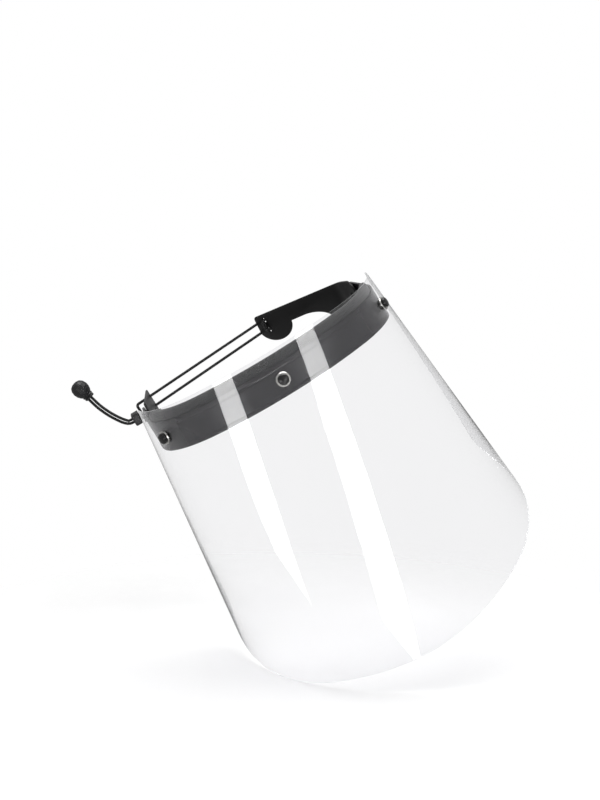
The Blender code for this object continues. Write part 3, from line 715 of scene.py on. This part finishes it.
knit_shader = add_node(knit_cover, "ShaderNodeBsdfPrincipled",
                       values={"Roughness": 0.9, "Sheen Weight": 0.35, "Sheen Roughness": 0.5},
                       links={"Base Color": knit_shade.outputs[0], "Normal": knit_bump.outputs["Normal"]})
give_surface(knit_cover, knit_shader.outputs[0])


def pad_point(s, v, depth):
    point, outward, down = frame_at(s, True, True)
    return point + down * v - outward * (PAD_DEPTH + depth)


def pad_skin(name):
    """A closed cushion: two skins that meet at a rounded edge, the inner one crowned."""
    shape = bmesh.new()
    uv = shape.loops.layers.uv.new("knit")
    columns = 220
    around = 44
    rings = []
    for i in range(columns + 1):
        s = PAD_HALF * math.sin((2 * i / columns - 1) * math.pi / 2)
        pull = pulled_in(PAD_HALF - abs(s), PAD_CORNER)
        middle = (PAD_TOP + PAD_BOTTOM) / 2
        half_tall = max((PAD_BOTTOM - PAD_TOP) / 2 - pull, 0.0008)
        into_end = max(abs(s) - PAD_HALF + PAD_END_ROUNDING, 0.0) / PAD_END_ROUNDING
        swell = math.sqrt(max(1 - into_end ** 2, 0.02))
        ring = []
        for k in range(around):
            turn = math.tau * k / around
            across = math.copysign(abs(math.cos(turn)) ** 0.42, math.cos(turn))
            out = math.copysign(abs(math.sin(turn)) ** 0.55, math.sin(turn))
            stitch = 1.0 - 0.20 * math.exp(-((abs(across) - 0.78) / 0.05) ** 2) * max(out, 0.0)
            if out > 0:
                out *= stitch * (1 - 0.10 * across * across)
            depth = PAD_THICKNESS / 2 * (1 + out * swell)
            ring.append(shape.verts.new(pad_point(s, middle + half_tall * across, depth)))
        rings.append((s, ring))
    for (s0, ring0), (s1, ring1) in zip(rings, rings[1:]):
        for k in range(around):
            after = (k + 1) % around
            face = shape.faces.new((ring0[k], ring0[after], ring1[after], ring1[k]))
            face.smooth = True
            girth = PAD_GIRTH_MM / around
            corners = ((s0, k), (s0, k + 1), (s1, k + 1), (s1, k))
            for loop, (at, step) in zip(face.loops, corners):
                loop[uv].uv = (at * 1000, step * girth)
    shape.faces.new(list(reversed(rings[0][1])))
    shape.faces.new(rings[-1][1])
    bmesh.ops.recalc_face_normals(shape, faces=shape.faces)
    mesh = bpy.data.meshes.new(name)
    shape.to_mesh(mesh)
    shape.free()
    obj = bpy.data.objects.new(name, mesh)
    scene.collection.objects.link(obj)
    mesh.materials.append(knit_cover)
    return obj


pad = pad_skin("sweatband_pad")
for station in STUD_STATIONS.values():
    stud_point, stud_outward, stud_down = frame_at(station, True, True)
    drill(pad, stud_point + stud_down * STUD_DROP - stud_outward * PAD_DEPTH, stud_outward, 0.0051, 0.0032)
smooth_faces(pad, 50)
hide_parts("sweatband")
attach(pad, "root")

# ------------------------------------------------------------------ press studs
# Three studs hold the sheet: a black post through band and sheet, a black spacer between them,
# a bright plated eyelet on the sheet and a black domed cap pressed over the post.
polished_acetal = empty_material("polished_black_acetal")
# glossy black, its shine broken by faint smears
stud_where = add_node(polished_acetal, "ShaderNodeTexCoord")
stud_prints = add_node(polished_acetal, "ShaderNodeTexNoise", values={"Scale": 420.0, "Detail": 4.0},
                       links={"Vector": stud_where.outputs["Object"]})
stud_gloss = add_node(polished_acetal, "ShaderNodeMapRange", values={"To Min": 0.16, "To Max": 0.38},
                      links={"Value": stud_prints.outputs["Fac"]})
stud_shade = add_node(polished_acetal, "ShaderNodeMixRGB",
                      values={1: colour("#060606"), 2: colour("#131314")},
                      links={0: stud_prints.outputs["Fac"]})
stud_bump = add_node(polished_acetal, "ShaderNodeBump", values={"Strength": 0.1, "Distance": 0.0001},
                     links={"Height": stud_prints.outputs["Fac"]})
stud_shader = add_node(polished_acetal, "ShaderNodeBsdfPrincipled", values={"IOR": 1.48},
                       links={"Base Color": stud_shade.outputs[0],
                              "Roughness": stud_gloss.outputs["Result"],
                              "Normal": stud_bump.outputs["Normal"]})
give_surface(polished_acetal, stud_shader.outputs[0])

nickel_plate = empty_material("nickel_plated_brass")
# bright nickel, its shine finely mottled from the plating barrel
plate_where = add_node(nickel_plate, "ShaderNodeTexCoord")
plate_lines = add_node(nickel_plate, "ShaderNodeTexNoise", values={"Scale": 1500.0, "Detail": 3.0},
                       links={"Vector": plate_where.outputs["Object"]})
plate_gloss = add_node(nickel_plate, "ShaderNodeMapRange", values={"To Min": 0.12, "To Max": 0.32},
                       links={"Value": plate_lines.outputs["Fac"]})
plate_shade = add_node(nickel_plate, "ShaderNodeMixRGB",
                       values={1: colour("#B9B8B5"), 2: colour("#DEDDDA")},
                       links={0: plate_lines.outputs["Fac"]})
plate_shader = add_node(nickel_plate, "ShaderNodeBsdfPrincipled", values={"Metallic": 1.0},
                        links={"Base Color": plate_shade.outputs[0],
                               "Roughness": plate_gloss.outputs["Result"]})
give_surface(nickel_plate, plate_shader.outputs[0])


def refinish(names, mat):
    """The same material in every slot of these CAD pieces."""
    for name in names:
        for material_slot in nodes[name].material_slots:
            material_slot.link = "OBJECT"
            material_slot.material = mat


for where in STUD_STATIONS:
    refinish(["stud_post_" + where, "stud_spacer_" + where, "stud_cap_" + where], polished_acetal)
    refinish(["stud_eyelet_" + where], nickel_plate)

# ------------------------------------------------------------------ arm rivets
# A blacked steel rivet pins each arm to the band, with a thin acetal washer between the two
# so that the arm turns freely.
blacked_steel = empty_material("blacked_steel")
# dark oxide over steel, rubbed a little brighter in patches
oxide_where = add_node(blacked_steel, "ShaderNodeTexCoord")
oxide_rub = add_node(blacked_steel, "ShaderNodeTexNoise", values={"Scale": 500.0, "Detail": 5.0},
                     links={"Vector": oxide_where.outputs["Object"]})
oxide_shade = add_node(blacked_steel, "ShaderNodeMixRGB",
                       values={1: colour("#1A1A1B"), 2: colour("#434346")},
                       links={0: oxide_rub.outputs["Fac"]})
oxide_gloss = add_node(blacked_steel, "ShaderNodeMapRange", values={"To Min": 0.25, "To Max": 0.5},
                       links={"Value": oxide_rub.outputs["Fac"]})
oxide_shader = add_node(blacked_steel, "ShaderNodeBsdfPrincipled", values={"Metallic": 1.0},
                        links={"Base Color": oxide_shade.outputs[0],
                               "Roughness": oxide_gloss.outputs["Result"]})
give_surface(blacked_steel, oxide_shader.outputs[0])
refinish(["arm_rivet_left", "arm_rivet_right"], blacked_steel)
refinish(["arm_washer_left", "arm_washer_right"], polished_acetal)

# ------------------------------------------------------------------ cord lock and cord end
# A small moulded block grips both strands with its sprung plunger; the tail ends in a hollow
# bell of the same black plastic, pushed over the knot that joins the strands.
textured_acetal = empty_material("textured_black_acetal")
# satin black with a fine mould texture, drawn at 0.4 mm
lock_where = add_node(textured_acetal, "ShaderNodeTexCoord")
lock_texture = add_node(textured_acetal, "ShaderNodeTexVoronoi", values={"Scale": 2400.0},
                        links={"Vector": lock_where.outputs["Object"]})
lock_wear = add_node(textured_acetal, "ShaderNodeTexNoise", values={"Scale": 200.0, "Detail": 4.0},
                     links={"Vector": lock_where.outputs["Object"]})
lock_shade = add_node(textured_acetal, "ShaderNodeMixRGB",
                      values={1: colour("#0A0A0B"), 2: colour("#1D1D1F")},
                      links={0: lock_wear.outputs["Fac"]})
lock_gloss = add_node(textured_acetal, "ShaderNodeMapRange", values={"To Min": 0.32, "To Max": 0.5},
                      links={"Value": lock_wear.outputs["Fac"]})
lock_bump = add_node(textured_acetal, "ShaderNodeBump", values={"Strength": 0.3, "Distance": 0.00008},
                     links={"Height": lock_texture.outputs["Distance"]})
lock_shader = add_node(textured_acetal, "ShaderNodeBsdfPrincipled", values={"IOR": 1.48},
                       links={"Base Color": lock_shade.outputs[0],
                              "Roughness": lock_gloss.outputs["Result"],
                              "Normal": lock_bump.outputs["Normal"]})
give_surface(textured_acetal, lock_shader.outputs[0])
refinish(["cord_lock_body", "cord_lock_plunger", "cord_end_bell"], textured_acetal)

knotted_yarn = empty_material("knotted_polyester_yarn")
# the same yarn as the sleeve, pulled into a knot; its wraps read as fine rings
knot_where = add_node(knotted_yarn, "ShaderNodeTexCoord")
knot_wraps = add_node(knotted_yarn, "ShaderNodeTexWave", settings={"bands_direction": "Z"},
                      values={"Scale": 280.0, "Distortion": 2.0},
                      links={"Vector": knot_where.outputs["Object"]})
knot_shade = add_node(knotted_yarn, "ShaderNodeMixRGB",
                      values={1: colour("#080808"), 2: colour("#1F1F21")},
                      links={0: knot_wraps.outputs["Fac"]})
knot_bump = add_node(knotted_yarn, "ShaderNodeBump", values={"Strength": 0.6, "Distance": 0.0002},
                     links={"Height": knot_wraps.outputs["Fac"]})
knot_shader = add_node(knotted_yarn, "ShaderNodeBsdfPrincipled",
                       values={"Roughness": 0.75, "Sheen Weight": 0.25},
                       links={"Base Color": knot_shade.outputs[0], "Normal": knot_bump.outputs["Normal"]})
give_surface(knotted_yarn, knot_shader.outputs[0])
refinish(["cord_end_knot"], knotted_yarn)
